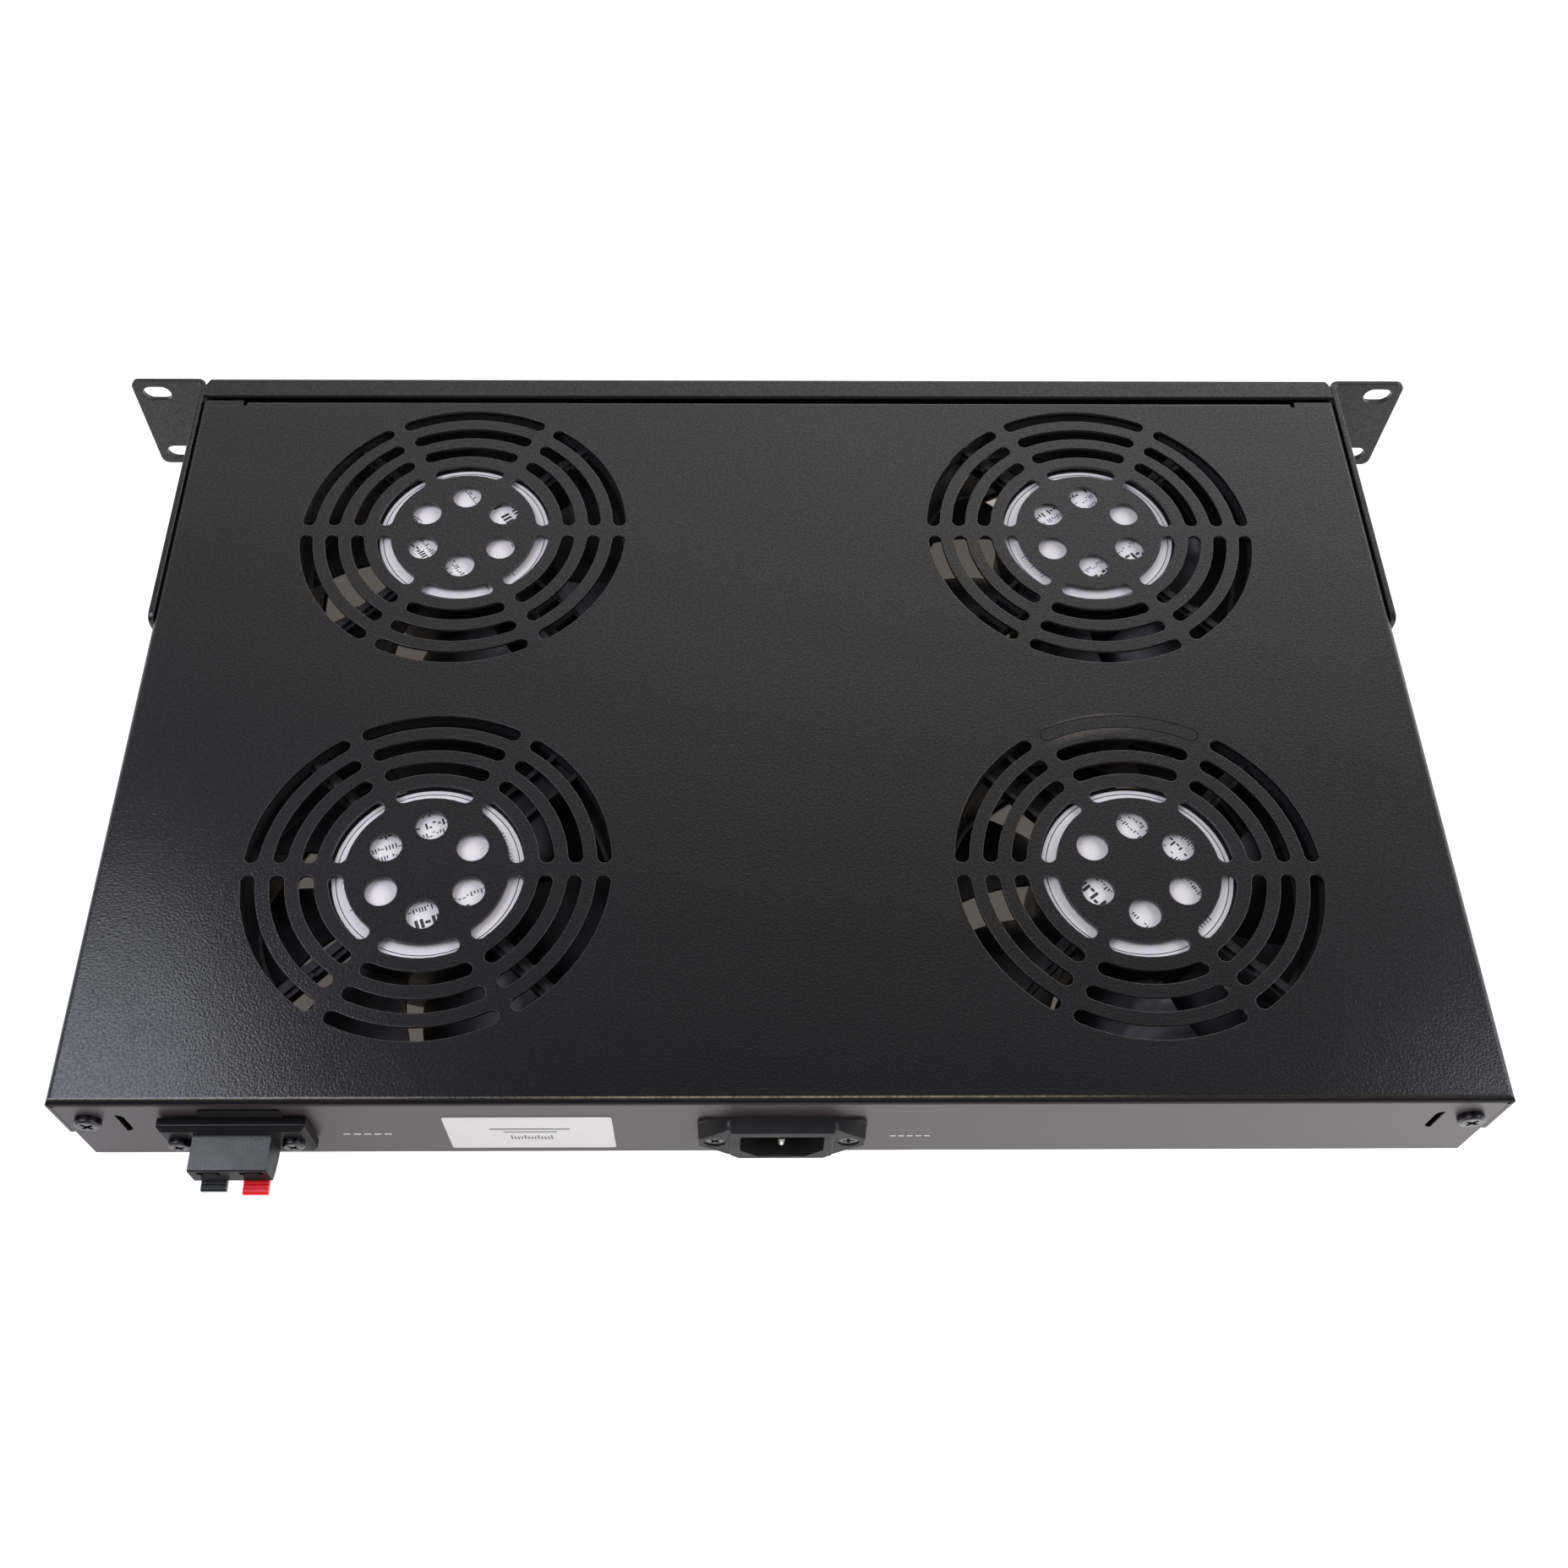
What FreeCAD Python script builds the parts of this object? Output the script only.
import FreeCAD, Part
import math, os

# Rack fan tray, 1U, 19 inch: four 120 mm axial mains fans in a folded steel tray,
# with a mains inlet and a temperature sensor terminal in the rear wall and a
# thermostat and a power switch in the front panel.
# Millimetres. +Z up, the front panel faces -Y, +X is to the right seen from the front.
# Origin: centre of the rack slot pattern, on the front face of the ears.

V = FreeCAD.Vector

# ---------------------------------------------------------------- driving dimensions
EAR_W = 482.6            # overall width over the rack ears
SLOT_PX, SLOT_PZ = 465.1, 31.75   # rack slot pattern
SLOT_L, SLOT_H = 10.5, 7.0        # rack slot, end to end and high
EAR_T = 2.0              # bracket sheet
EAR_Z = 22.0             # half height of the ears and of the front panel
BODY_W = 425.0           # width over the cover
BODY_TOP = 21.5
BODY_BOT = -20.5
REAR_Y = 287.0           # outer face of the rear wall
COVER_Y0 = 11.0          # front of the cover's corner tabs
LIP_Y0 = 10.8            # front of the cover's bent lip
LIP_R = 1.8              # outside bend radius of the lip
SHEET = 1.2
BEND = 1.9               # outside bend radius of the cover
FLANGE_Z = -2.0          # lower edge of the cover's side flanges
BRKT_Y1 = 113.5          # rear end of the bracket's side flange
FAN_X = 111.15           # fan centres, each side of the row's middle
FAN_DX = -1.35           # the fan row sits a little to the left of the middle
FAN_Y = (73.8, 210.6)
FAN_S = 120.0            # fan frame side
FAN_H = 38.0
FAN_P = 105.0            # fan screw spacing
DUCT_R = 57.3
GUARD_RO = (57.6, 48.7, 39.7, 30.6)
GUARD_RI = (53.0, 44.0, 35.0, 25.8)
BRIDGE = 4.35            # width of the six spokes left between the guard slots
HUB_HOLE_R, HUB_HOLE_PCR = 5.0, 15.7
LABEL_R = 30.0
INLET_X, INLET_Z = 0.0, -2.6
TERM_X, TERM_Z = 161.2, 1.8
RLABEL = (50.4, 100.4, -16.6, 9.6)
THERMO_X = 0.0
SWITCH_X = 184.0

BASE_Z1 = BODY_BOT + SHEET          # top of the base plate
TOP_Z0 = BODY_TOP - SHEET           # underside of the cover's top
HALF = BODY_W / 2
REAR_Y0 = REAR_Y - SHEET
WALL_X = HALF - SHEET - 0.2         # outer face of the base tray's side walls
FZ0 = BASE_Z1
FZ1 = BASE_Z1 + FAN_H               # top of the fan frames

X, Y, Z = V(1, 0, 0), V(0, 1, 0), V(0, 0, 1)


# ---------------------------------------------------------------- helpers
def box(x0, x1, y0, y1, z0, z1):
    return Part.makeBox(x1 - x0, y1 - y0, z1 - z0, V(x0, y0, z0))


def cyl(p, d, r, h):
    return Part.makeCylinder(r, h, V(*p), d)


def cone(p, d, r1, r2, h):
    return Part.makeCone(r1, r2, h, V(*p), d)


def prism(pts, d):
    w = Part.makePolygon([V(*p) for p in pts] + [V(*pts[0])])
    return Part.Face(w).extrude(d)


def along(e, axis):
    if len(e.Vertexes) != 2:
        return False
    a, b = e.Vertexes[0].Point, e.Vertexes[1].Point
    d = b.sub(a)
    return d.Length > 1e-6 and abs(abs(d.dot(axis)) - d.Length) < 1e-6


def fillet(s, r, sel):
    es = [e for e in s.Edges if sel(e)]
    return s.makeFillet(r, es)


def chamfer(s, c, sel):
    es = [e for e in s.Edges if sel(e)]
    return s.makeChamfer(c, es)


def rbox(x0, x1, y0, y1, z0, z1, r, axis):
    return fillet(box(x0, x1, y0, y1, z0, z1), r, lambda e: along(e, axis))


def mid(e):
    return e.BoundBox.Center


def at(e, **k):
    c = e.BoundBox
    ok = True
    if "x" in k:
        ok = ok and abs(c.XMin - k["x"]) < 1e-4 and abs(c.XMax - k["x"]) < 1e-4
    if "y" in k:
        ok = ok and abs(c.YMin - k["y"]) < 1e-4 and abs(c.YMax - k["y"]) < 1e-4
    if "z" in k:
        ok = ok and abs(c.ZMin - k["z"]) < 1e-4 and abs(c.ZMax - k["z"]) < 1e-4
    return ok


def turned(s, p, d, a):
    t = s.copy()
    t.rotate(V(*p), d, a)
    return t


def moved(s, x, y, z):
    t = s.copy()
    t.translate(V(x, y, z))
    return t


def clean(s):
    try:
        t = s.removeSplitter()
        if t.isValid() and len(t.Solids) == len(s.Solids):
            return t
    except Exception:
        pass
    return s


def cross_recess(w, span, depth):
    # cross recess cut down from z = 0, tapering in
    a = box(-span / 2, span / 2, -w / 2, w / 2, -depth, 0.2)
    b = box(-w / 2, w / 2, -span / 2, span / 2, -depth, 0.2)
    c = cone((0, 0, -depth), Z, span * 0.16, span * 0.53, depth + 0.2)
    return a.fuse(b).common(c)


def pan_screw(r, hr, hh, length, turn=20.0):
    # head above z = 0, shank down to z = -length
    head = cyl((0, 0, 0), Z, hr, hh)
    head = fillet(head, hh * 0.42, lambda e: at(e, z=hh))
    rec = moved(cross_recess(hr * 0.28, hr * 1.2, hh * 0.66), 0, 0, hh)
    s = head.cut(turned(rec, (0, 0, 0), Z, turn)).fuse(cyl((0, 0, -length), Z, r, length))
    return clean(s)


def csk_screw(r, hr, length, turn=20.0):
    # flat head flush with z = 0, 90 degree cone, shank down to z = -length
    hd = hr - r
    head = cone((0, 0, -hd), Z, r, hr, hd)
    rec = cross_recess(hr * 0.28, hr * 1.15, hd * 0.85)
    s = head.fuse(cyl((0, 0, -length), Z, r, length - hd)).cut(turned(rec, (0, 0, 0), Z, turn))
    return clean(s)


def aim(s, p, d):
    # turn a piece built along +Z to point along d, then move it to p
    t = s.copy()
    rot = FreeCAD.Rotation(Z, d)
    t.Placement = FreeCAD.Placement(V(*p), rot)
    return t


def hexnut(r, af, h):
    R = af / math.sqrt(3)
    pts = [(R * math.cos(math.radians(60 * k)), R * math.sin(math.radians(60 * k)), 0) for k in range(6)]
    n = prism(pts, V(0, 0, h))
    c = cone((0, 0, -0.2 * R), Z, R * 0.80 + 0.0, R * 0.80 + (h + 0.4 * R) * 1.0, h + 0.4 * R)
    n = n.common(cyl((0, 0, 0), Z, R * 0.985, h))
    return n.cut(cyl((0, 0, -1), Z, r + 0.02, h + 2))


def round_nut(r, ro, h):
    n = cyl((0, 0, 0), Z, ro, h)
    n = chamfer(n, 0.4, lambda e: at(e, z=h))
    return n.cut(cyl((0, 0, -1), Z, r + 0.02, h + 2))


def compound(lst):
    return Part.makeCompound(lst)


def tube(points, r, bends):
    # round lead: straight runs joined by tangent arcs
    P = [V(*p) for p in points]
    if not isinstance(bends, (list, tuple)):
        bends = [bends] * (len(P) - 2)
    edges, cur, length = [], P[0], 0.0
    for i in range(1, len(P) - 1):
        a = P[i - 1].sub(P[i]); a.normalize()
        b = P[i + 1].sub(P[i]); b.normalize()
        ang = math.acos(max(-1, min(1, a.dot(b))))
        turn = math.pi - ang
        t = bends[i - 1] * math.tan(turn / 2)
        p1 = P[i].add(a.multiply(t)); a.normalize()
        p2 = P[i].add(V(b).multiply(t))
        bis = a.add(b); bis.normalize()
        c = P[i].add(V(bis).multiply(bends[i - 1] / math.sin(ang / 2)))
        m = c.sub(V(bis).multiply(bends[i - 1]))
        edges.append(Part.LineSegment(cur, p1).toShape())
        edges.append(Part.Arc(p1, m, p2).toShape())
        length += p1.sub(cur).Length + bends[i - 1] * turn
        cur = p2
    edges.append(Part.LineSegment(cur, P[-1]).toShape())
    length += P[-1].sub(cur).Length
    path = Part.Wire(edges)
    d = P[1].sub(P[0]); d.normalize()
    prof = Part.Wire([Part.Circle(P[0], d, r).toShape()])
    s = path.makePipeShell([prof], True, False)
    want = math.pi * r * r * length
    print("lead r %.2f length %.1f bends %s volume ratio %.4f" % (r, length, bends, s.Volume / want))
    return s


nodes = {}


def add(name, shape):
    nodes[name] = shape


# ---------------------------------------------------------------- fan guard cut-outs
def guard_slot(ro, ri, k, z0, z1, grow=0.0):
    # one of six arc slots with full round ends, centred on 30 + 60 k degrees
    rm, hw = (ro + ri) / 2, (ro - ri) / 2
    th = math.asin((BRIDGE / 2 + hw) / rm)
    a0, a1 = math.radians(60 * k) + th, math.radians(60 * (k + 1)) - th
    am = (a0 + a1) / 2
    hw += grow
    ro, ri = rm + hw, rm - hw

    def P(r, a):
        return V(r * math.cos(a), r * math.sin(a), z0)

    def cap(a, s):
        # outermost point of the round end beyond angle a
        c = P(rm, a)
        return c.add(V(-math.sin(a) * hw * s, math.cos(a) * hw * s, 0))

    e = [Part.Arc(P(ro, a0), P(ro, am), P(ro, a1)).toShape(),
         Part.Arc(P(ro, a1), cap(a1, 1), P(ri, a1)).toShape(),
         Part.Arc(P(ri, a1), P(ri, am), P(ri, a0)).toShape(),
         Part.Arc(P(ri, a0), cap(a0, -1), P(ro, a0)).toShape()]
    return Part.Face(Part.Wire(e)).extrude(V(0, 0, z1 - z0))


def guard_tools(fx, fy, uncut=None):
    out = []
    z0, z1 = TOP_Z0 - 1, BODY_TOP + 1
    for i, (ro, ri) in enumerate(zip(GUARD_RO, GUARD_RI)):
        for k in range(6):
            if uncut == (i, k):
                # this slot's slug is still in place: only its outline is scored into the top
                a = guard_slot(ro, ri, k, BODY_TOP - 0.55, z1, 0.12)
                b = guard_slot(ro, ri, k, BODY_TOP - 0.55, z1, -0.12)
                out.append(moved(a.cut(b), fx, fy, 0))
            else:
                out.append(moved(guard_slot(ro, ri, k, z0, z1), fx, fy, 0))
    for k in range(6):
        a = math.radians(30 + 60 * k)
        out.append(cyl((fx + HUB_HOLE_PCR * math.cos(a), fy + HUB_HOLE_PCR * math.sin(a), z0), Z, HUB_HOLE_R, z1 - z0))
    return out


FANS = [("front_left", FAN_DX - FAN_X, FAN_Y[0]), ("front_right", FAN_DX + FAN_X, FAN_Y[0]),
        ("rear_left", FAN_DX - FAN_X, FAN_Y[1]), ("rear_right", FAN_DX + FAN_X, FAN_Y[1])]

BRKT_SCREWS = [(y, 8.0) for y in (22.0, 60.0, 98.0)]
COVER_SCREW = (203.8, 8.2)
PANEL_SCREWS = [(sx * 203.2, z) for sx in (-1, 1) for z in (-12.0, 12.0)]

# ---------------------------------------------------------------- top cover
outer = box(-HALF, HALF, COVER_Y0, REAR_Y, BODY_BOT, BODY_TOP)
outer = fillet(outer, BEND, lambda e: (along(e, Y) and at(e, z=BODY_TOP)) or (at(e, y=REAR_Y, z=BODY_TOP)))
inner = box(-HALF + SHEET, HALF - SHEET, COVER_Y0 - 20, REAR_Y0, BODY_BOT - 20, TOP_Z0)
inner = fillet(inner, BEND - SHEET, lambda e: (along(e, Y) and at(e, z=TOP_Z0)) or (at(e, y=REAR_Y0, z=TOP_Z0)))
cover = outer.cut(inner)
tools = []
for s in (-1, 1):
    x0, x1 = sorted((s * (HALF - 1.6), s * (HALF + 1)))
    tools.append(box(x0, x1, 0, REAR_Y + 1, BODY_BOT - 1, FLANGE_Z))
    # seam between the side flange and the rear wall, with its relief hole under the bend
    x0, x1 = sorted((s * (HALF - SHEET - 0.22), s * (HALF - SHEET)))
    tools.append(box(x0, x1, REAR_Y0 - 0.5, REAR_Y + 1, FLANGE_Z - 1, BODY_TOP - BEND - 0.9))
    tools.append(cyl((s * (HALF - SHEET - 0.11), REAR_Y0 - 0.5, BODY_TOP - BEND - 0.9), Y, 0.65, 2.5))
    # bend reliefs at the ends of the front lip
    x0, x1 = sorted((s * 195.6, s * 197.1))
    tools.append(box(x0, x1, 0, 12.6, 0, BODY_TOP + 1))
    tools.append(cyl((s * 196.35, 12.6, TOP_Z0 - 1), Z, 0.95, 4))
    # side screws to the brackets
    for (y, z) in BRKT_SCREWS:
        tools.append(cyl((s * (HALF - 4), y, z), X * s, 2.3, 8))
    # rear cover screw, and beside it a narrow D-shaped slot with a straight outer side
    tools.append(cyl((s * COVER_SCREW[0], REAR_Y0 - 2, COVER_SCREW[1]), Y, 2.3, 6))
    x0, x1 = sorted((s * 192.9, s * 197.5))
    d_slot = rbox(x0, x1, REAR_Y0 - 1, REAR_Y + 1, -1.0, 12.0, 2.29, Y)
    x0, x1 = sorted((s * 190.0, s * 195.2))
    tools.append(d_slot.common(box(x0, x1, REAR_Y0 - 2, REAR_Y + 2, -5.0, 16.0)))
tools.append(box(-195.6, 195.6, 0, 14.2, TOP_Z0 - 3, BODY_TOP + 1))
# inlet cut-out and screws
ix, iz = INLET_X, INLET_Z
tools.append(rbox(ix - 14.3, ix + 14.3, REAR_Y0 - 1, REAR_Y + 1, iz - 10.4, iz + 10.4, 1.0, Y))
for s in (-1, 1):
    tools.append(cyl((ix + s * 20.0, REAR_Y0 - 1, iz), Y, 1.7, 4))
# terminal cut-out and screws
tx, tz = TERM_X, TERM_Z
tools.append(box(tx - 10.8, tx + 10.8, REAR_Y0 - 1, REAR_Y + 1, tz - 7.0, tz + 7.0))
for s in (-1, 1):
    tools.append(cyl((tx + s * 16.8, REAR_Y0 - 1, tz), Y, 1.65, 4))
for name, fx, fy in FANS:
    # slot 4 of the outer ring points to the front (-Y); it is not punched out in the rear left guard
    tools += guard_tools(fx, fy, (0, 4) if name == "rear_left" else None)
cover = cover.cut(tools)
# front lip, bent down between the reliefs
LIP_Z0 = 14.6
q = 1 - math.sqrt(0.5)
arc_o = Part.Arc(V(0, LIP_Y0, BODY_TOP - LIP_R), V(0, LIP_Y0 + LIP_R * q, BODY_TOP - LIP_R * q), V(0, LIP_Y0 + LIP_R, BODY_TOP))
ri_ = LIP_R - SHEET
arc_i = Part.Arc(V(0, LIP_Y0 + LIP_R, TOP_Z0), V(0, LIP_Y0 + SHEET + ri_ * q, TOP_Z0 - ri_ * q), V(0, LIP_Y0 + SHEET, TOP_Z0 - ri_))
w = Part.Wire([arc_o.toShape(),
               Part.LineSegment(V(0, LIP_Y0 + LIP_R, BODY_TOP), V(0, 14.2, BODY_TOP)).toShape(),
               Part.LineSegment(V(0, 14.2, BODY_TOP), V(0, 14.2, TOP_Z0)).toShape(),
               Part.LineSegment(V(0, 14.2, TOP_Z0), V(0, LIP_Y0 + LIP_R, TOP_Z0)).toShape(),
               arc_i.toShape(),
               Part.LineSegment(V(0, LIP_Y0 + SHEET, TOP_Z0 - ri_), V(0, LIP_Y0 + SHEET, LIP_Z0)).toShape(),
               Part.LineSegment(V(0, LIP_Y0 + SHEET, LIP_Z0), V(0, LIP_Y0, LIP_Z0)).toShape(),
               Part.LineSegment(V(0, LIP_Y0, LIP_Z0), V(0, LIP_Y0, BODY_TOP - LIP_R)).toShape()])
lip = Part.Face(w).extrude(V(391.2, 0, 0))
lip.translate(V(-195.6, 0, 0))
cover = clean(cover.fuse(lip))
add("top_cover", cover)

# ---------------------------------------------------------------- base tray
ob = box(-WALL_X, WALL_X, 1.5, REAR_Y0, BODY_BOT, TOP_Z0 - 1.1)
ob = fillet(ob, 2.0, lambda e: along(e, Y) and at(e, z=BODY_BOT))
ib = box(-WALL_X + SHEET, WALL_X - SHEET, 0, REAR_Y0 + 1, BASE_Z1, 30)
ib = fillet(ib, 0.8, lambda e: along(e, Y) and at(e, z=BASE_Z1))
base = ob.cut(ib)
parts_ = []
for s in (-1, 1):
    # front and rear tabs folded in from the side walls
    x0, x1 = sorted((s * 195.7, s * (WALL_X - 0.6)))
    parts_.append(rbox(x0, x1, 1.5, 1.5 + SHEET, -17.0, 17.0, 2.0, Y))
    parts_.append(rbox(x0, x1, REAR_Y0 - SHEET, REAR_Y0, -17.0, 17.0, 2.0, Y))
base = base.fuse(parts_)
tools = []
for name, fx, fy in FANS:
    tools.append(cyl((fx, fy, BODY_BOT - 1), Z, 57.0, 4))
    for a in (-1, 1):
        for b in (-1, 1):
            tools.append(cyl((fx + a * FAN_P / 2, fy + b * FAN_P / 2, BODY_BOT - 1), Z, 2.3, 4))
for s in (-1, 1):
    for (y, z) in BRKT_SCREWS:
        tools.append(cyl((s * (WALL_X - 4), y, z), X * s, 2.3, 8))
    tools.append(cyl((s * COVER_SCREW[0], REAR_Y0 - 3, COVER_SCREW[1]), Y, 2.3, 6))
for (x, z) in PANEL_SCREWS:
    tools.append(cyl((x, 0, z), Y, 1.7, 6))
# bottom screws of the front panel
for x in (-170.0, 0.0, 170.0):
    tools.append(cyl((x, 8.0, BODY_BOT - 1), Z, 1.7, 4))
tools.append(cyl((34.0, 240.0, BODY_BOT - 1), Z, 2.05, 4))
base = clean(base.cut(tools))
add("base_tray", base)

# ---------------------------------------------------------------- front panel
PX = HALF - 0.2
panel = box(-PX, PX, 0, 14.0, -EAR_Z, EAR_Z)
panel = fillet(panel, 0.9, lambda e: along(e, X) and at(e, y=0))
hollow = box(-PX - 1, PX + 1, 1.5, 20, BODY_BOT, EAR_Z - 1.5)
panel = panel.cut(hollow)
panel = panel.cut(box(-PX - 1, PX + 1, 8.6, 20, 0, EAR_Z + 1))
tools = []
for s in (-1, 1):
    # chamfered ends of both return flanges
    for zz in ((EAR_Z - 1.6, EAR_Z + 1), (-EAR_Z - 1, BODY_BOT + 0.1)):
        pts = [(s * (PX + 1), -1, zz[0]), (s * (PX - 2.2), -1, zz[0]), (s * (PX + 0.01), 3.4, zz[0]), (s * (PX + 1), 3.4, zz[0])]
        tools.append(prism(pts, V(0, 0, zz[1] - zz[0])))
    x0, x1 = sorted((s * (PX - 1.3), s * (PX + 1)))
    tools.append(box(x0, x1, 6.8, 20, -EAR_Z - 1, BODY_BOT + 0.1))
tools.append(rbox(THERMO_X - 35.2, THERMO_X + 35.2, -1, 3, -14.2, 14.2, 1.0, Y))
tools.append(rbox(SWITCH_X - 6.6, SWITCH_X + 6.6, -1, 3, -9.6, 9.6, 0.8, Y))
for (x, z) in PANEL_SCREWS:
    tools.append(cyl((x, -1, z), Y, 1.7, 6))
    tools.append(cone((x, -0.02, z), Y, 3.02, 1.50, 1.52))
for x in (-170.0, 0.0, 170.0):
    tools.append(cyl((x, 8.0, -EAR_Z - 1), Z, 1.7, 4))
    tools.append(cone((x, 8.0, -EAR_Z - 0.02), Z, 3.02, 1.50, 1.52))
panel = clean(panel.cut(tools))
add("front_panel", panel)

ps = [aim(csk_screw(1.5, 3.0, 8.0, 15 + 35 * i), (x, 0, z), V(0, -1, 0)) for i, (x, z) in enumerate(PANEL_SCREWS)]
ps += [aim(csk_screw(1.5, 3.0, 6.5, 50 + 20 * i), (x, 8.0, -EAR_Z), V(0, 0, -1)) for i, x in enumerate((-170.0, 0.0, 170.0))]
add("front_panel_screws", compound(ps))
pn = [aim(round_nut(1.5, 3.1, 2.4), (x, 1.5 + SHEET, z), V(0, 1, 0)) for (x, z) in PANEL_SCREWS]
pn += [aim(round_nut(1.5, 3.1, 2.4), (x, 8.0, BASE_Z1), V(0, 0, 1)) for x in (-170.0, 0.0, 170.0)]
add("front_panel_nuts", compound(pn))


# ---------------------------------------------------------------- rack brackets
def bracket(s):
    # plan outline of the L, drawn for the right side
    xi, xo, xe = HALF, HALF + EAR_T, EAR_W / 2
    ro, ri = 3.2, 1.2
    q = math.sqrt(0.5)
    z0 = -EAR_Z
    e = [Part.LineSegment(V(xi, BRKT_Y1, z0), V(xi, ro, z0)).toShape(),
         Part.Arc(V(xi, ro, z0), V(xi + ro * (1 - q), ro * (1 - q), z0), V(xi + ro, 0, z0)).toShape(),
         Part.LineSegment(V(xi + ro, 0, z0), V(xe, 0, z0)).toShape(),
         Part.LineSegment(V(xe, 0, z0), V(xe, EAR_T, z0)).toShape(),
         Part.LineSegment(V(xe, EAR_T, z0), V(xo + ri, EAR_T, z0)).toShape(),
         Part.Arc(V(xo + ri, EAR_T, z0), V(xo + ri * (1 - q), EAR_T + ri * (1 - q), z0), V(xo, EAR_T + ri, z0)).toShape(),
         Part.LineSegment(V(xo, EAR_T + ri, z0), V(xo, BRKT_Y1, z0)).toShape(),
         Part.LineSegment(V(xo, BRKT_Y1, z0), V(xi, BRKT_Y1, z0)).toShape()]
    b = Part.Face(Part.Wire(e)).extrude(V(0, 0, 2 * EAR_Z))
    b = fillet(b, 3.0, lambda g: along(g, Y) and abs(mid(g).x - xe) < 1e-4)
    b = fillet(b, 3.0, lambda g: along(g, X) and abs(mid(g).y - BRKT_Y1) < 1e-4)
    b = fillet(b, 0.35, lambda g: at(g, y=0) or (abs(mid(g).y - EAR_T) < 0.9 and along(g, X)))
    t = []
    for z in (-SLOT_PZ / 2, SLOT_PZ / 2):
        t.append(rbox(SLOT_PX / 2 - SLOT_L / 2, SLOT_PX / 2 + SLOT_L / 2, -1, 4, z - SLOT_H / 2, z + SLOT_H / 2, SLOT_H / 2 - 0.005, Y))
    for (y, z) in BRKT_SCREWS:
        t.append(cyl((xi - 1, y, z), X, 2.3, 4))
        t.append(cone((xo + 0.02, y, z), V(-1, 0, 0), 3.80, 2.0, 1.80))
    b = b.cut(t)
    b = clean(b)
    if s < 0:
        b = b.mirror(V(0, 0, 0), V(1, 0, 0))
    return b


add("rack_bracket_right", bracket(1))
add("rack_bracket_left", bracket(-1))
bs, bn = [], []
for s in (-1, 1):
    for i, (y, z) in enumerate(BRKT_SCREWS):
        bs.append(aim(csk_screw(2.0, 3.75, 9.5, 25 * i + 10), (s * (HALF + EAR_T), y, z), V(s, 0, 0)))
        bn.append(aim(round_nut(2.0, 3.9, 3.0), (s * (WALL_X - SHEET), y, z), V(-s, 0, 0)))
add("bracket_screws", compound(bs))

# ---------------------------------------------------------------- cover screws
cs, cn = [], []
for s in (-1, 1):
    cs.append(aim(pan_screw(2.0, 3.95, 2.3, 8.0, 35 if s > 0 else 62), (s * COVER_SCREW[0], REAR_Y, COVER_SCREW[1]), V(0, 1, 0)))
    cn.append(aim(round_nut(2.0, 3.9, 3.0), (s * COVER_SCREW[0], REAR_Y0 - SHEET, COVER_SCREW[1]), V(0, -1, 0)))
add("cover_screws", compound(cs))
# press nuts in the side walls and the rear tabs
add("press_nuts", compound(bn + cn))


# ---------------------------------------------------------------- fan frame
def fan_frame():
    # built about the fan's own axis; z as in the tray
    f = None
    for z0 in (FZ0, FZ1 - 5.0):
        p = rbox(-60, 60, -60, 60, z0, z0 + 5.0, 4.5, Z)
        f = p if f is None else f.fuse(p)
    f = f.fuse(cyl((0, 0, FZ0), Z, 59.6, FAN_H))
    f = f.cut(cyl((0, 0, FZ0 - 1), Z, DUCT_R, FAN_H + 2))
    f = f.cut(cone((0, 0, FZ0 - 0.01), Z, DUCT_R + 1.4, DUCT_R - 0.1, 3.0))
    f = f.cut(cone((0, 0, FZ1 - 2.5), Z, DUCT_R - 0.1, DUCT_R + 1.2, 2.51))
    holes = []
    for a in (-1, 1):
        for b in (-1, 1):
            holes.append(cyl((a * FAN_P / 2, b * FAN_P / 2, FZ0 - 1), Z, 2.25, FAN_H + 2))
    f = f.cut(holes)
    # stator base: disc, skirt and bearing tube
    hub = cyl((0, 0, FZ1 - 2.5), Z, 31.5, 2.5)
    hub = fillet(hub, 0.8, lambda e: at(e, z=FZ1))
    hub = hub.fuse(cyl((0, 0, 8.0), Z, 31.5, FZ1 - 2.5 - 8.0).cut(cyl((0, 0, 7.0), Z, 29.3, 12)))
    hub = hub.fuse(cyl((0, 0, -4.0), Z, 8.5, FZ1 - 2.5 + 4.0))
    hub = hub.cut(cyl((0, 0, -5.0), Z, 6.5, 5.0 + 14.0))
    # four struts; the wide one carries the leads in a channel
    st = []
    for k, a in enumerate((45, 135, 225, 315)):
        wide = k == 0
        hw = 6.0 if wide else 2.6
        b = box(30.4, 58.4, -hw, hw, FZ1 - 5.5, FZ1 - (1.6 if not wide else 1.2))
        if wide:
            b = b.cut(box(33.0, 62, -hw + 1.6, hw - 1.6, FZ1 - 4.2, FZ1 + 1))
            b = b.fuse(box(42.0, 44.0, -hw, hw, FZ1 - 5.5, FZ1 - 0.6))
            b = b.fuse(box(51.0, 53.0, -hw, hw, FZ1 - 5.5, FZ1 - 0.6))
        else:
            b = b.fuse(box(30.4, 58.4, -0.9, 0.9, FZ1 - 5.5, FZ1 - 0.4))
            b = b.fuse(box(46.5, 48.5, -2.6, 2.6, FZ1 - 5.5, FZ1 - 0.7))
        st.append(turned(b, (0, 0, 0), Z, a))
    f = f.fuse([hub] + st)
    return clean(f)


FRAME = fan_frame()
# the wide strut of every fan points to the centre of the tray
AIM = {"front_left": 0, "front_right": 90, "rear_right": 180, "rear_left": 270}


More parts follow.
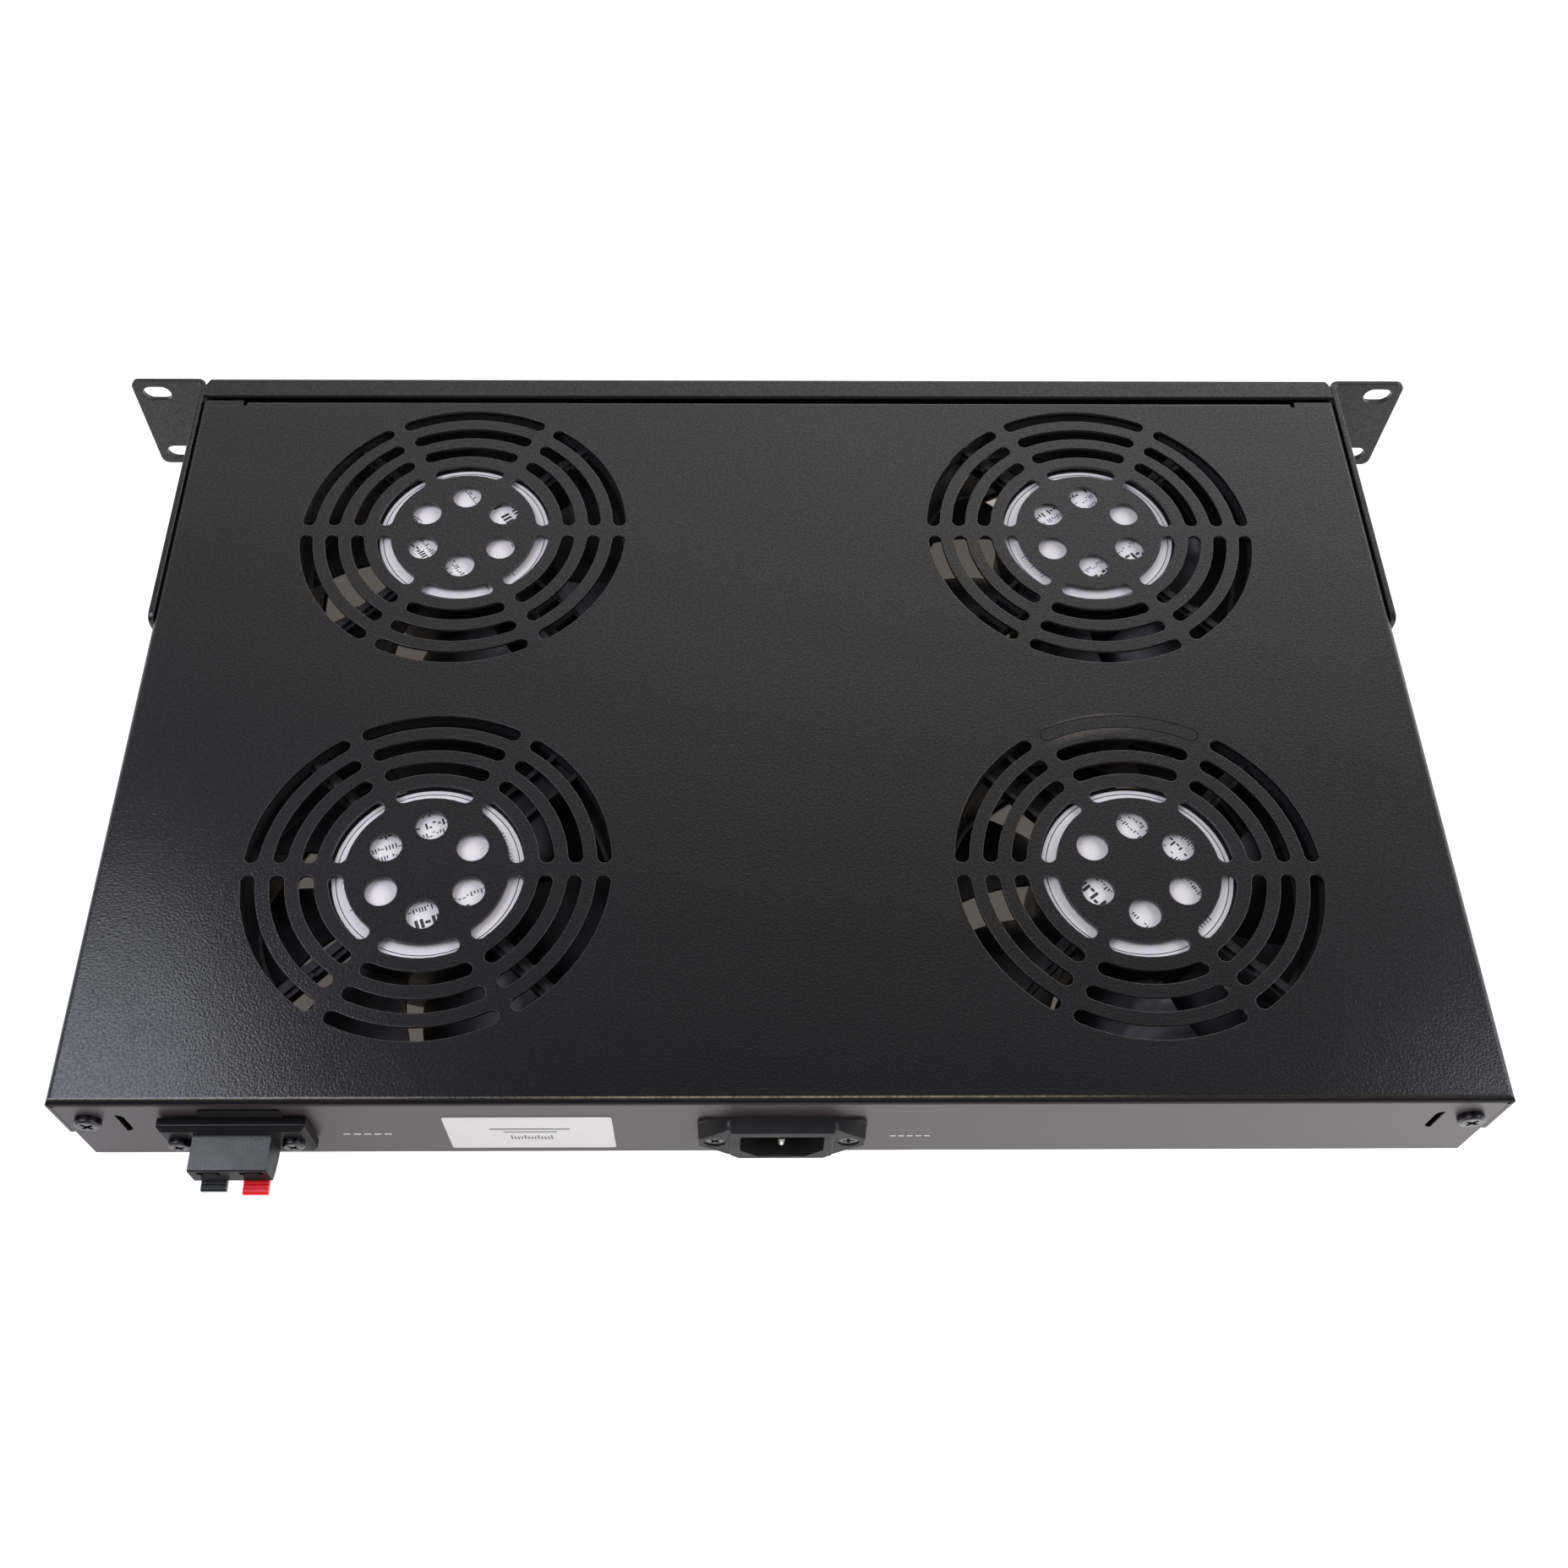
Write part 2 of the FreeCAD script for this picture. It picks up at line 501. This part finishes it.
# ---------------------------------------------------------------- impeller
def blade():
    secs = []
    N = 8
    for d, L, H, sw, th in ((25.0, 22.5, 22.0, 0.0, 2.4), (38.0, 34.0, 21.0, 3.0, 2.1), (50.0, 44.5, 19.5, 8.0, 1.8), (62.0, 55.0, 18.0, 14.0, 1.5)):
        a = math.radians(sw)
        er, et = V(math.cos(a), math.sin(a), 0), V(-math.sin(a), math.cos(a), 0)
        up, lo = [], []
        for i in range(N + 1):
            s = i / N
            t = (s - 0.5) * L
            z = -3.4 + (s - 0.5) * H + 2.2 * math.sin(math.pi * s)
            dt, dz = L, H + 2.2 * math.pi * math.cos(math.pi * s)
            n = math.hypot(dt, dz)
            nt, nz = -dz / n, dt / n
            w_ = th * (0.28 + 0.72 * math.sin(math.pi * min(1, max(0, 0.08 + 0.84 * s)))) / 2
            up.append(er * d + et * (t + nt * w_) + Z * (z + nz * w_))
            lo.append(er * d + et * (t - nt * w_) + Z * (z - nz * w_))
        bu = Part.BSplineCurve(); bu.interpolate(up)
        bl = Part.BSplineCurve(); bl.interpolate(lo[::-1])
        secs.append(Part.Wire([bu.toShape(), Part.LineSegment(up[-1], lo[-1]).toShape(), bl.toShape(), Part.LineSegment(lo[0], up[0]).toShape()]))
    return Part.makeLoft(secs, True, False)


def impeller():
    hub = cyl((0, 0, -17.5), Z, 30.5, 24.5)
    hub = fillet(hub, 2.2, lambda e: at(e, z=-17.5))
    hub = hub.cut(cyl((0, 0, -15.0), Z, 28.5, 30))
    hub = hub.fuse(cyl((0, 0, -15.0), Z, 5.0, 6.5))
    hub = hub.cut(cyl((0, 0, -15.0), Z, 2.0, 10))
    # balance pockets in the closed end
    hub = hub.cut([cyl((22 * math.cos(math.radians(60 * k)), 22 * math.sin(math.radians(60 * k)), -17.6), Z, 2.0, 1.1) for k in range(6)])
    b = blade().common(cyl((0, 0, -17.0), Z, DUCT_R - 1.0, 27.5)).cut(cyl((0, 0, -30), Z, 29.6, 60))
    # the blade roots stay clear of the stator skirt above them
    b = b.cut(cyl((0, 0, 6.8), Z, 32.8, 20))
    b = sorted(b.Solids, key=lambda g: g.Volume)[-1]
    blades = [turned(b, (0, 0, 0), Z, k * 360.0 / 7) for k in range(7)]
    return clean(hub.fuse(blades))


IMP = impeller()
TURN = {"front_left": 12.0, "front_right": 33.0, "rear_right": 5.0, "rear_left": 24.0}

shafts = {}
bear, cores, coils, labels, fs, fn = [], [], [], [], [], []
for name, fx, fy in FANS:
    add("fan_frame_" + name, moved(turned(FRAME, (0, 0, 0), Z, AIM[name]), fx, fy, 0))
    add("impeller_" + name, moved(turned(IMP, (0, 0, 0), Z, TURN[name]), fx, fy, 0))
    sh = cyl((fx, fy, -15.0), Z, 2.0, 29.0)
    add("motor_shaft_" + name, chamfer(sh, 0.3, lambda e: at(e, z=14.0)))
    add("rotor_ring_" + name, cyl((fx, fy, -13.0), Z, 28.5, 19.0).cut(cyl((fx, fy, -14.0), Z, 26.3, 21.0)))
    for z in (-3.5, 9.5):
        bear.append(cyl((fx, fy, z), Z, 6.5, 4.0).cut(cyl((fx, fy, z - 1), Z, 2.04, 6.0)))
    core = cyl((fx, fy, -3.0), Z, 24.5, 9.0).cut(cyl((fx, fy, -4), Z, 8.5, 11))
    core = core.cut([turned(box(fx + 10.0, fx + 26.0, fy - 0.9, fy + 0.9, -4, 7), (fx, fy, 0), Z, 60 * k) for k in range(6)])
    cores.append(core)
    for z in (6.0, -6.0):
        ring = cyl((fx, fy, z), Z, 22.5, 3.0).cut(cyl((fx, fy, z - 1), Z, 11.0, 5.0))
        coils.append(fillet(ring, 1.2, lambda e: len(e.Vertexes) == 1 and abs(mid(e).z - (z + 3.0 if z > 0 else z)) < 1e-4))
    labels.append(cyl((fx, fy, FZ1), Z, LABEL_R, 0.15))
    for a in (-1, 1):
        for b in (-1, 1):
            p = (fx + a * FAN_P / 2, fy + b * FAN_P / 2)
            fs.append(aim(pan_screw(2.0, 3.6, 1.4, 11.5, 17 * len(fs)), (p[0], p[1], BODY_BOT), V(0, 0, -1)))
            fn.append(moved(hexnut(2.0, 7.0, 3.2), p[0], p[1], FZ0 + 5.0))
add("fan_bearings", compound(bear))
add("stator_cores", compound(cores))
add("stator_coils", compound(coils))
add("hub_labels", compound(labels))
add("fan_screws", compound(fs))
add("fan_nuts", compound(fn))


# ---------------------------------------------------------------- mains inlet
def poly_y(pts, y0, y1):
    return prism([(p[0], y0, p[1]) for p in pts], V(0, y1 - y0, 0))


IN_Y1 = 292.0
fl = rbox(ix - 25.1, ix + 25.1, REAR_Y, 288.0, iz - 11.3, iz + 11.3, 3.0, Y)
# the flange slopes from its oblong outline at the back to a six-sided front face
back_pts = [(-15.6, 11.25), (15.6, 11.25), (22.2, 11.25), (25.05, 8.4), (25.05, -8.4), (22.2, -11.25), (15.6, -11.25), (-15.6, -11.25), (-22.2, -11.25), (-25.05, -8.4), (-25.05, 8.4), (-22.2, 11.25)]
ear_pts = [(-15.6, 10.9), (15.6, 10.9), (21.6, 5.2), (24.8, 2.9), (24.8, -2.9), (21.6, -5.2), (15.6, -10.9), (-15.6, -10.9), (-21.6, -5.2), (-24.8, -2.9), (-24.8, 2.9), (-21.6, 5.2)]
wires = []
for pts, yy in ((back_pts, 287.9), (ear_pts, 290.7)):
    pp = [V(ix + a, yy, iz + b) for a, b in pts]
    wires.append(Part.makePolygon(pp + [pp[0]]))
ears = Part.makeLoft(wires, True, True)
hz0, hz1 = iz - 10.9, iz + 11.5
hs = [(-15.4, hz1), (15.4, hz1), (15.4, hz0 + 2.6), (12.9, hz0), (-12.9, hz0), (-15.4, hz0 + 2.6)]
house = poly_y([(ix + a, b) for a, b in hs], REAR_Y, IN_Y1)
house = fillet(house, 0.5, lambda e: at(e, y=IN_Y1))
back = rbox(ix - 14.0, ix + 14.0, 268.0, REAR_Y, iz - 10.1, iz + 10.1, 0.8, Y)
inlet = back.fuse([fl, ears, house])
cz = iz - 0.35
cv = [(-12.5, cz + 8.4), (12.5, cz + 8.4), (12.5, cz - 3.2), (7.3, cz - 8.4), (-7.3, cz - 8.4), (-12.5, cz - 3.2)]
cavity = poly_y([(ix + a, b) for a, b in cv], 275.0, IN_Y1 + 1)
cavity = fillet(cavity, 0.8, lambda e: along(e, Y))
inlet = inlet.cut(cavity)
PINS = [(-7.0, cz + 2.0, 287.6), (7.0, cz + 2.0, 287.6), (0.0, cz - 2.0, 290.2)]
tl = []
for s in (-1, 1):
    tl.append(cyl((ix + s * 20.0, 286, iz), Y, 1.7, 6))
    tl.append(cyl((ix + s * 20.0, 290.3, iz), Y, 3.3, 1.0))
    tl.append(cone((ix + s * 20.0, 290.32, iz), V(0, -1, 0), 3.32, 1.4, 1.92))
for (px, pz, py) in PINS:
    tl.append(box(ix + px - 1.0, ix + px + 1.0, 267, 276, pz - 2.0, pz + 2.0))
inlet = clean(inlet.cut(tl))
add("inlet_housing", inlet)
pins = []
for (px, pz, py) in PINS:
    b = box(ix + px - 1.0, ix + px + 1.0, 267.0, py, pz - 2.0, pz + 2.0)
    b = chamfer(b, 0.55, lambda e: at(e, y=py))
    t = box(ix + px - 0.4, ix + px + 0.4, 258.0, 267.0, pz - 3.1, pz + 3.1)
    t = chamfer(t, 0.25, lambda e: at(e, y=258.0) and along(e, Z))
    pins.append(clean(b.fuse(t)))
add("inlet_pins", compound(pins))
add("inlet_screws", compound([aim(csk_screw(1.5, 3.2, 8.6, 5 if s < 0 else 45), (ix + s * 20.0, 290.25, iz), V(0, 1, 0)) for s in (-1, 1)]))
rear_nuts = [aim(hexnut(1.5, 5.5, 2.4), (ix + s * 20.0, REAR_Y0, iz), V(0, -1, 0)) for s in (-1, 1)]

# ---------------------------------------------------------------- sensor terminal
TY0, TY1, TY2 = 287.6, 291.5, 302.5      # back and front of the flange, front of the body
# thin insulating plate under the flange, standing out above it
sp = rbox(tx - 15.2, tx + 9.0, REAR_Y, TY0, tz - 8.0, tz + 14.7, 1.5, Y)
sp = sp.cut(box(tx - 9.5, tx + 8.0, REAR_Y - 1, TY0 + 1, tz - 6.4, tz + 6.4))
sp = sp.cut(box(tx - 9.5, tx + 20.0, REAR_Y - 1, TY0 + 1, tz - 6.4, tz + 6.4))
add("terminal_spacer", sp)
fw_, fh_ = 21.7, 9.4
plate = box(tx - fw_, tx + fw_, TY0, TY1, tz - fh_, tz + fh_)
plate = chamfer(plate, 1.3, lambda e: at(e, y=TY1))
plate = fillet(plate, 0.4, lambda e: along(e, Y) and abs(abs(mid(e).x - tx) - fw_) < 1e-4)
# body: side profile with the rounded underside
bz1 = tz + 5.9
prof = [(TY0, bz1), (TY2 - 0.4, bz1), (TY2, bz1 - 0.4), (TY2, -0.7), (301.6, -1.3), (299.6, -2.2), (297.0, -3.1), (294.0, -3.8), (TY0, -4.1)]
body = prism([(tx - 11.5, a, b) for a, b in prof], V(23.0, 0, 0))
rearb = box(tx - 9.3, tx + 9.3, 283.5, TY0, tz - 6.2, tz + 6.2)
term = plate.fuse([body, rearb])
LEV = (("black", tx + 5.8), ("red", tx - 6.6))
tl = []
for nm, lx in LEV:
    # lever bay, open below behind the front wall
    tl.append(prism([(lx - 4.1, 295.6, 2.3), (lx - 4.1, 301.0, 2.3), (lx - 4.1, 301.0, -6.0), (lx - 4.1, 295.6, -6.0)], V(8.2, 0, 0)))
    tl.append(box(lx - 4.1, lx + 4.1, 300.5, 304.0, -6.0, -0.9))
    # wire guide: a funnel in the front face, wide below, with the wire hole at its upper end
    w0 = Part.makePolygon([V(lx - 1.9, TY2 + 0.01, 6.6), V(lx + 1.9, TY2 + 0.01, 6.6), V(lx + 3.4, TY2 + 0.01, 0.1), V(lx - 3.4, TY2 + 0.01, 0.1), V(lx - 1.9, TY2 + 0.01, 6.6)])
    w1 = Part.makePolygon([V(lx - 1.3, 301.5, 6.2), V(lx + 1.3, 301.5, 6.2), V(lx + 2.2, 301.5, 3.6), V(lx - 2.2, 301.5, 3.6), V(lx - 1.3, 301.5, 6.2)])
    tl.append(Part.makeLoft([w0, w1], True, True))
    tl.append(turned(cyl((lx, 290.0, 5.0), Y, 1.25, 14.0), (lx, 300.0, 5.0), Z, 0))
for s in (-1, 1):
    tl.append(cyl((tx + s * 16.8, TY0 - 1, tz), Y, 1.65, 6))
term = clean(term.cut(tl))
add("terminal_housing", term)
PIV = (297.4, 0.6)


def lever(lx, tip):
    # side profile of the push lever: pivot barrel, arm and ribbed thumb pad
    p = [(297.4, 1.8), (298.6, 1.5), (300.4, -0.9), (302.4, -1.15), (tip - 0.5, -1.35), (tip, -1.8), (tip, -2.9), (tip - 0.6, -3.3), (301.6, -3.0), (299.4, -2.4), (296.6, -0.6), (296.2, 0.6), (296.5, 1.5)]
    s = prism([(lx - 3.75, a, b) for a, b in p], V(7.5, 0, 0))
    for i in range(2):
        yy = 303.35 + i * (tip - 304.2) * 0.62
        s = s.cut(cyl((lx - 5, yy, -0.75), X, 0.62, 10))
    return clean(s)


add("terminal_lever_black", lever(LEV[0][1], 305.3))
add("terminal_lever_red", lever(LEV[1][1], 306.3))
add("terminal_screws", compound([aim(pan_screw(1.5, 3.3, 2.0, 11.0, 20 if s > 0 else 45), (tx + s * 16.8, TY1, tz), V(0, 1, 0)) for s in (-1, 1)]))
rear_nuts += [aim(hexnut(1.5, 5.5, 2.4), (tx + s * 16.8, REAR_Y0, tz), V(0, -1, 0)) for s in (-1, 1)]
add("rear_wall_nuts", compound(rear_nuts))
add("terminal_contacts", compound([box(lx - 1.4, lx + 1.4, 278.5, 283.5, tz - 0.4, tz + 0.4) for nm, lx in LEV]))

# ---------------------------------------------------------------- rear label plate
add("rear_label", rbox(RLABEL[0], RLABEL[1], REAR_Y, REAR_Y + 0.2, RLABEL[2], RLABEL[3], 1.0, Y))

# ---------------------------------------------------------------- thermostat in the front panel
h = THERMO_X
case = rbox(h - 38.0, h + 38.0, -2.5, 0, -17.0, 17.0, 2.0, Y)
case = fillet(case, 0.8, lambda e: at(e, y=-2.5))
case = case.fuse(rbox(h - 35.0, h + 35.0, 0, 50.0, -14.0, 14.0, 0.8, Y))
case = case.cut(box(h - 33.5, h + 33.5, 1.2, 48.5, -12.5, 12.5))
WIN = (h - 29.0, h + 13.0, -8.5, 8.5)
case = case.cut(rbox(WIN[0], WIN[1], -3.5, -1.3, WIN[2], WIN[3], 1.0, Y))
case = case.cut(rbox(WIN[0] + 2.0, WIN[1] - 2.0, -2.0, 3.0, WIN[2] + 2.0, WIN[3] - 2.0, 0.5, Y))
BTN = (("up", 9.0), ("set", 0.0), ("down", -9.0))
BX = h + 25.0
for nm, z in BTN:
    case = case.cut(rbox(BX - 4.15, BX + 4.15, -4, 2, z - 2.65, z + 2.65, 1.15, Y))
add("thermostat_case", clean(case))
add("display_window", rbox(WIN[0] + 0.05, WIN[1] - 0.05, -2.3, -1.3, WIN[2] + 0.05, WIN[3] - 0.05, 0.95, Y))
for nm, z in BTN:
    b = rbox(BX - 4.0, BX + 4.0, -3.4, 1.7, z - 2.5, z + 2.5, 1.0, Y)
    b = fillet(b, 0.5, lambda e: at(e, y=-3.4))
    b = b.fuse(box(BX - 4.8, BX + 4.8, 1.5, 2.6, z - 3.3, z + 3.3))
    add("thermostat_button_" + nm, clean(b))
board = box(h - 33.0, h + 33.0, 6.0, 7.6, -12.0, 12.0)
board = board.fuse(box(WIN[0] + 2.4, WIN[1] - 2.4, -0.9, 6.0, WIN[2] + 2.4, WIN[3] - 2.4))
board = board.fuse([box(BX - 2.0, BX + 2.0, 4.1, 6.0, z - 2.0, z + 2.0) for nm, z in BTN])
board = board.fuse(box(h - 30.0, h - 12.0, 7.6, 24.0, -9.0, 9.0))
add("thermostat_board", clean(board))

# ---------------------------------------------------------------- power switch
q = SWITCH_X
sw = rbox(q - 7.5, q + 7.5, -2.0, 0, -10.5, 10.5, 1.2, Y)
sw = fillet(sw, 0.5, lambda e: at(e, y=-2.0))
sw = sw.fuse(box(q - 6.4, q + 6.4, 0, 16.0, -9.4, 9.4))
sw = sw.cut(box(q - 5.3, q + 5.3, -3, 9.0, -8.9, 8.9))
tabs = [box(q - 3.0, q + 3.0, 16.0, 24.0, z - 0.4, z + 0.4) for z in (-5.0, 5.0)]
add("switch_housing", clean(sw))
add("switch_tabs", compound(tabs))
rk = prism([(q - 5.1, a, b) for a, b in ((-3.2, 8.3), (-1.6, 0.0), (-3.2, -8.3), (3.2, -7.0), (6.0, -3.0), (6.0, 3.0), (3.2, 7.0))], V(10.2, 0, 0))
rk = fillet(rk, 0.5, lambda e: along(e, X) and mid(e).y < 0 and abs(mid(e).z) > 4)
add("switch_rocker", turned(rk, (q, 1.0, 0), X, -9.0))

# ---------------------------------------------------------------- wiring
blk = rbox(-28.0, 28.0, 136.0, 148.0, BASE_Z1, -5.0, 0.8, X)
blk = blk.cut([cyl((-24.5 + 7.0 * i, y, -7.0), Z, 1.6, 3.0) for i in range(8) for y in (140.5, 143.5)])
add("terminal_block", clean(blk))
fl_ = []
for name, fx, fy in FANS:
    s = 1 if fx > 0 else -1
    front = fy < 142
    for j in range(2):
        ys = (fy + 54.6 - 2.6 * j) if front else (fy - 54.6 + 2.6 * j)
        xb = 24.5 - 7.0 * j if s > 0 else -(24.5 - 7.0 * j)
        yb = 137.6 if front else 146.4
        fl_.append(tube([(fx - s * 60.0, ys, 16.0), (fx - s * 69.0, ys, 16.0), (xb, yb, 10.0), (xb, yb, -5.0)], 0.8, [5.0, 5.0]))
add("fan_leads", compound(fl_))
ml = [tube([(ix + 7.0, 258.0, cz + 2.0), (ix + 7.0, 246.0, cz + 2.0), (44.0, 228.0, -12.0), (44.0, 142.5, -12.0), (190.0, 142.5, -12.0), (190.0, 50.0, -10.0), (184.0, 33.0, -5.0), (184.0, 24.0, -5.0)], 1.1, [6, 7, 6, 6, 9, 9]),
      tube([(184.0, 24.0, 5.0), (184.0, 33.0, 5.0), (180.5, 48.0, 3.0), (180.5, 139.0, -10.0), (28.0, 139.0, -10.0)], 1.1, [12, 12, 6]),
      tube([(ix - 7.0, 258.0, cz + 2.0), (ix - 7.0, 240.0, cz + 2.0), (-14.0, 170.0, -10.0), (-14.0, 148.0, -10.0)], 1.1, [12, 12]),
      tube([(-20.0, 136.0, -10.0), (-20.0, 50.0, -10.0)], 1.1, []),
      tube([(-10.0, 136.0, -10.0), (-10.0, 50.0, -10.0)], 1.1, [])]
el = tube([(ix, 258.0, cz - 2.0), (ix, 248.0, cz - 2.0), (19.0, 240.0, -16.6), (28.6, 240.0, -16.6)], 1.1, [5, 6])
add("mains_leads", compound(ml + [el]))
stud = cyl((34.0, 240.0, BODY_BOT), Z, 2.0, 14.0)
ring = cyl((34.0, 240.0, BASE_Z1), Z, 4.4, 1.0).cut(cyl((34.0, 240.0, BASE_Z1 - 1), Z, 2.02, 3))
barrel = box(28.2, 31.0, 238.0, 242.0, BASE_Z1, BASE_Z1 + 0.9)
add("earth_stud", stud)
ringp = ring.fuse(barrel)
crimp = cyl((25.2, 240.0, -16.6), X, 1.9, 3.6).cut(cyl((25.1, 240.0, -16.6), X, 1.12, 3.8)).fuse(box(26.0, 29.2, 238.6, 241.4, BASE_Z1, -18.35))
add("earth_ring", clean(ringp.fuse(crimp)))
add("earth_nut", moved(hexnut(2.0, 7.0, 3.2), 34.0, 240.0, BASE_Z1 + 1.0))
sl = []
for j, (nm, lx) in enumerate(LEV):
    yy = 279.9 - 2.6 * j
    zz = tz - 1.7 - 0.0 * j
    x1 = 46.5 - 2.6 * j
    sl.append(tube([(lx, 281.0, tz - 0.4), (lx, 281.0, tz - 4.0 - 3.0 * j), (lx - 9.0, 276.5 + 2.2 * j, tz - 5.0 - 3.0 * j), (x1, 276.5 + 2.2 * j, tz - 5.0 - 3.0 * j), (x1, 110.0, tz - 5.0 - 3.0 * j), (18.0 + 6.0 * j, 76.0, 2.0), (18.0 + 6.0 * j, 50.0, 2.0)], 0.7, [2.2, 3.0, 8, 12, 12]))
add("sensor_leads", compound(sl))

# ---------------------------------------------------------------- write
os.makedirs("parts", exist_ok=True)
for f in os.listdir("parts"):
    if f.endswith(".step") and f[:-5] not in nodes:
        os.remove(os.path.join("parts", f))
for name, shape in nodes.items():
    bb = shape.BoundBox
    print("%-28s valid %s solids %2d vol %10.1f  x %8.2f %8.2f y %8.2f %8.2f z %7.2f %7.2f" % (
        name, shape.isValid(), len(shape.Solids), shape.Volume, bb.XMin, bb.XMax, bb.YMin, bb.YMax, bb.ZMin, bb.ZMax))
    shape.exportStep("parts/%s.step" % name)
print(len(nodes), "nodes")
